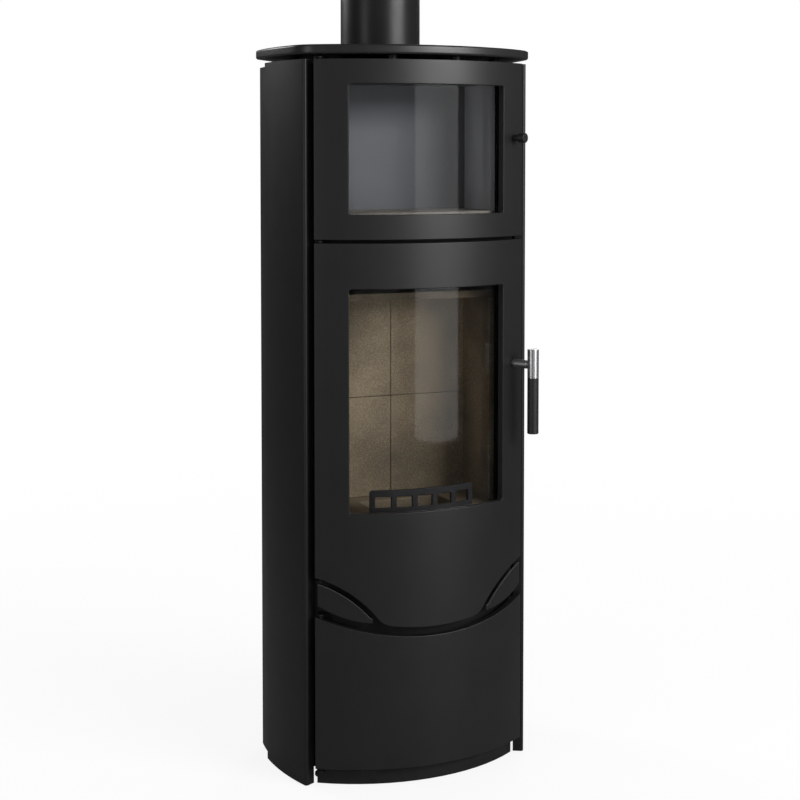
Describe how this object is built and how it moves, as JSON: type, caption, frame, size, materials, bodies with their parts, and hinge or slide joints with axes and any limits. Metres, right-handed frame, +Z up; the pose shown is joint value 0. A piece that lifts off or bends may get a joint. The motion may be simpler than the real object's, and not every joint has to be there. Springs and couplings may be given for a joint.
{
  "type": "wood stove with baking oven",
  "caption": "Tall steel wood stove with a bowed front: baking oven over a glazed firebox, storage compartment below, flue outlet on top.",
  "frame": {"origin": "on the floor, under the middle of the body", "axes": "+Z up; the rolled front with the doors faces -Y; +X is the side that carries the handle"},
  "size_m": [0.4918, 0.36, 1.45],
  "materials": {
    "stove_paint": "satin charcoal stove paint",
    "top_paint": "satin charcoal stove paint",
    "dark_steel": "matt black",
    "inner_steel": "raw dark steel",
    "pipe_steel": "satin black",
    "bright_steel": "brushed",
    "oven_steel": "dull stainless",
    "cast_iron": "rough",
    "firebrick": "vermiculite board, matt",
    "stone": "smooth ceramic, matt",
    "glass": "clear ceramic glass, slightly tinted",
    "rope": "glass-fibre rope",
    "grip_black": "satin black"
  },
  "bodies": {
    "stove_body": {"base_plate": "dark_steel", "plinth": "stove_paint", "levelling_foot_1": "dark_steel", "levelling_foot_2": "dark_steel", "levelling_foot_3": "dark_steel", "levelling_foot_4": "dark_steel", "right_side_panel": "stove_paint", "left_side_panel": "stove_paint", "rear_shell": "stove_paint", "right_cheek": "dark_steel", "left_cheek": "dark_steel", "top_frame": "dark_steel", "top_plate": "top_paint", "front_plate": "dark_steel", "firebox_shell": "inner_steel", "flue_collar": "inner_steel", "flue_pipe": "pipe_steel", "hearth_plate": "inner_steel", "floor_bricks": "firebrick", "grate": "cast_iron", "right_fire_brick": "firebrick", "left_fire_brick": "firebrick", "rear_fire_brick": "firebrick", "flue_divider": "inner_steel", "baffle": "firebrick", "log_guard": "cast_iron", "ash_pan": "oven_steel", "oven_box": "oven_steel", "baking_stone": "stone", "storage_ceiling": "dark_steel", "middle_hinge_bracket": "dark_steel", "fire_door_hinge_bracket": "dark_steel", "storage_hinge_bracket": "dark_steel", "oven_door_hinge_bracket": "dark_steel", "latch_keeper": "dark_steel", "storage_catch": "dark_steel", "oven_catch": "dark_steel"},
    "oven_door": {"oven_door_frame": "stove_paint", "oven_door_liner": "dark_steel", "oven_door_glass": "glass", "oven_glass_rail_left": "dark_steel", "oven_glass_rail_right": "dark_steel", "oven_door_seal": "rope", "oven_knob_screw": "bright_steel", "oven_knob": "grip_black"},
    "fire_door": {"fire_door_frame": "stove_paint", "fire_door_liner": "dark_steel", "fire_door_glass": "glass", "fire_glass_rail_left": "dark_steel", "fire_glass_rail_right": "dark_steel", "fire_door_seal": "rope"},
    "fire_handle": {"handle_stem": "bright_steel", "handle_sleeve": "bright_steel", "handle_grip": "grip_black", "latch_cam": "bright_steel"},
    "lower_door": {"storage_door": "stove_paint"},
    "left_air_control": {"left_air_leaf": "stove_paint", "left_air_rod": "bright_steel"},
    "right_air_control": {"right_air_leaf": "stove_paint", "right_air_rod": "bright_steel"}
  },
  "joints": [
    {"name": "oven_door_hinge", "type": "hinge", "parent": "stove_body", "child": "oven_door", "pos_m": [-0.19332, -0.10972, 1.1366], "axis": [0, 0, -1], "range_deg": [0, 110]},
    {"name": "fire_door_hinge", "type": "hinge", "parent": "stove_body", "child": "fire_door", "pos_m": [-0.19332, -0.10972, 0.67], "axis": [0, 0, -1], "range_deg": [0, 110]},
    {"name": "handle_turn", "type": "hinge", "parent": "fire_door", "child": "fire_handle", "pos_m": [0.18, -0.12692, 0.7436], "axis": [0.4986, -0.8668, 0], "range_deg": [0, 90]},
    {"name": "storage_door_hinge", "type": "hinge", "parent": "stove_body", "child": "lower_door", "pos_m": [-0.19332, -0.10972, 0.17], "axis": [0, 0, -1], "range_deg": [0, 110]},
    {"name": "left_air_slide", "type": "slide", "parent": "stove_body", "child": "left_air_control", "axis": [0, -1, 0], "range_m": [0, 0.015]},
    {"name": "right_air_slide", "type": "slide", "parent": "stove_body", "child": "right_air_control", "axis": [0, -1, 0], "range_m": [0, 0.015]}
  ]
}
